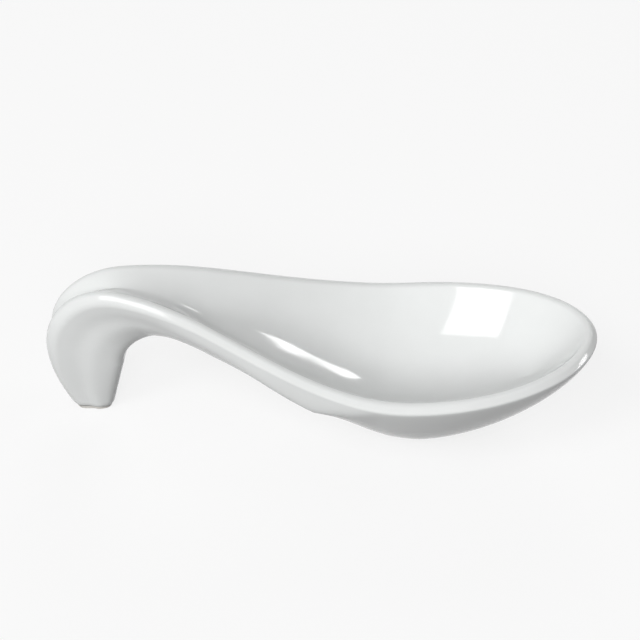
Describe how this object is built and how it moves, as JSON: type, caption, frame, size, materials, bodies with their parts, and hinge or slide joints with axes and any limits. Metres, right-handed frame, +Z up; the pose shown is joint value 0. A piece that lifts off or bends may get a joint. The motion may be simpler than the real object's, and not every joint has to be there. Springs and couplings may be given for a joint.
{
  "type": "amuse-bouche spoon",
  "caption": "White glazed porcelain tasting spoon: teardrop bowl, channelled rising handle that curls over into a hooked leg, so it stands level on its bowl's base and the leg's foot.",
  "frame": {"origin": "middle of the bounding box in plan, on the table that the spoon stands on", "axes": "+X along the spoon from the hook to the bowl's tip, +Y across the bowl, +Z up"},
  "size_m": [0.1199, 0.0482, 0.0319],
  "materials": {
    "porcelain": "bare fired porcelain, ground matt on the two faces that it stands on",
    "glaze": "clear gloss glaze over white porcelain"
  },
  "bodies": {
    "root": {"porcelain_body": "porcelain", "glaze_coat": "glaze"}
  },
  "joints": []
}
